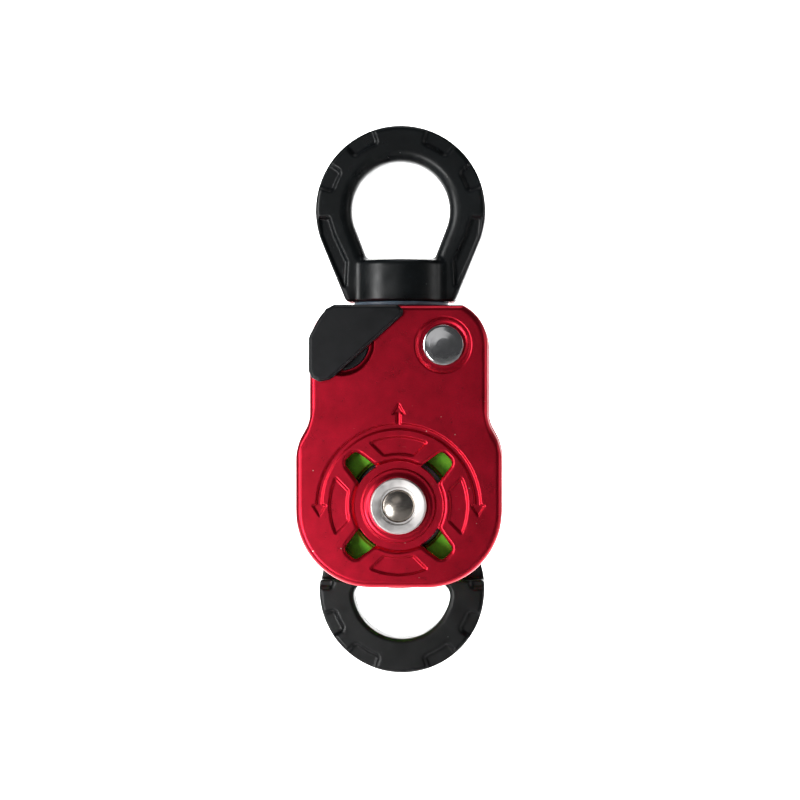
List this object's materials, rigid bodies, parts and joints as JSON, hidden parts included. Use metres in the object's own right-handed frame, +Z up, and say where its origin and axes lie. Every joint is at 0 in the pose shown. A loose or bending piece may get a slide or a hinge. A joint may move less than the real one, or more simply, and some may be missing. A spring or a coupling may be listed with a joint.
{
  "type": "rope pulley",
  "caption": "Rope pulley with a swivel eye, an opening side plate that locks, a wide grooved sheave and a becket ring for a second line.",
  "frame": {"origin": "centre of the hole in the swivel eye, on the pulley's middle plane", "axes": "+Z up from the sheave to the swivel eye, along the swivel's axis; +Y from the opening front plate to the rear plate, along the axle; +X to the right as seen from the front"},
  "size_m": [0.0606, 0.0434, 0.1639],
  "materials": {
    "black_steel": "semi-gloss black coated forged steel",
    "black_plug": "black coated steel",
    "steel": "machined steel",
    "ball_steel": "polished bearing steel",
    "grey_washer": "satin blue-grey plastic",
    "zinc_steel": "zinc plated steel",
    "red_block": "satin red anodised aluminium",
    "red_rear_plate": "satin red anodised aluminium",
    "screw_steel": "dark stainless steel",
    "axle_steel": "turned stainless steel",
    "silver_ring": "turned silver aluminium",
    "spacer_alloy": "turned aluminium",
    "bearing_steel": "ground bearing steel",
    "seal_rubber": "matt black rubber",
    "black_becket": "semi-gloss black anodised",
    "rivet_steel": "stainless steel",
    "spring_steel": "spring steel",
    "green_sheave": "satin green anodised aluminium",
    "red_front_plate": "satin red anodised aluminium",
    "bush_plastic": "black low friction plastic",
    "black_lever": "satin black anodised aluminium",
    "polished_button": "polished stainless steel"
  },
  "bodies": {
    "swivel_eye_body": {"swivel_eye": "black_steel", "ball_port_plug": "black_plug"},
    "frame_body": {"swivel_post": "steel", "swivel_balls": "ball_steel", "dust_washer": "grey_washer", "post_nut": "zinc_steel", "head_block": "red_block", "rear_plate": "red_rear_plate", "plate_screws": "screw_steel", "axle": "axle_steel", "front_axle_ring": "silver_ring", "rear_axle_ring": "silver_ring", "front_spacer": "spacer_alloy", "rear_spacer": "spacer_alloy", "bearing_inner_ring": "bearing_steel", "becket": "black_becket", "becket_rivets": "rivet_steel", "plunger_spring": "spring_steel"},
    "sheave_body": {"sheave": "green_sheave", "bearing_outer_ring": "bearing_steel", "bearing_balls": "ball_steel", "bearing_seals": "seal_rubber"},
    "front_plate_body": {"front_plate": "red_front_plate", "front_plate_bush": "bush_plastic", "button_spring": "spring_steel"},
    "latch_lever_body": {"latch_lever": "black_lever", "latch_retainer": "steel", "latch_screw": "screw_steel", "latch_catch_pin": "steel", "latch_spring": "spring_steel"},
    "lock_button_body": {"lock_button": "polished_button", "button_clip": "spring_steel"},
    "lock_plunger_body": {"lock_plunger": "steel"}
  },
  "joints": [
    {"name": "swivel_spin", "type": "hinge", "parent": "swivel_eye_body", "child": "frame_body", "pos_m": [0, 0, -0.0225], "axis": [0, 0, 1], "continuous": true},
    {"name": "sheave_spin", "type": "hinge", "parent": "frame_body", "child": "sheave_body", "pos_m": [0, 0, -0.0874], "axis": [0, 1, 0], "continuous": true},
    {"name": "front_plate_swing", "type": "hinge", "parent": "frame_body", "child": "front_plate_body", "pos_m": [0, 0, -0.0874], "axis": [0, 1, 0], "range_deg": [0, 130]},
    {"name": "latch_lever_turn", "type": "hinge", "parent": "front_plate_body", "child": "latch_lever_body", "pos_m": [-0.0167, 0, -0.0397], "axis": [0, 1, 0], "range_deg": [0, 35], "stiffness_Nm_per_rad": 0.05, "springref_deg": -20.05},
    {"name": "lock_button_push", "type": "slide", "parent": "front_plate_body", "child": "lock_button_body", "axis": [0, 1, 0], "range_m": [0, 0.0013], "stiffness_N_per_m": 800, "springref_m": -0.001, "deforming": ["button_spring"]},
    {"name": "lock_plunger_slide", "type": "slide", "parent": "frame_body", "child": "lock_plunger_body", "axis": [0, 1, 0], "range_m": [0, 0.0013], "stiffness_N_per_m": 400, "springref_m": -0.002, "deforming": ["plunger_spring"]}
  ],
  "couplings": [
    {"joint": "lock_plunger_slide", "follows": "lock_button_push", "ratio": 1}
  ]
}
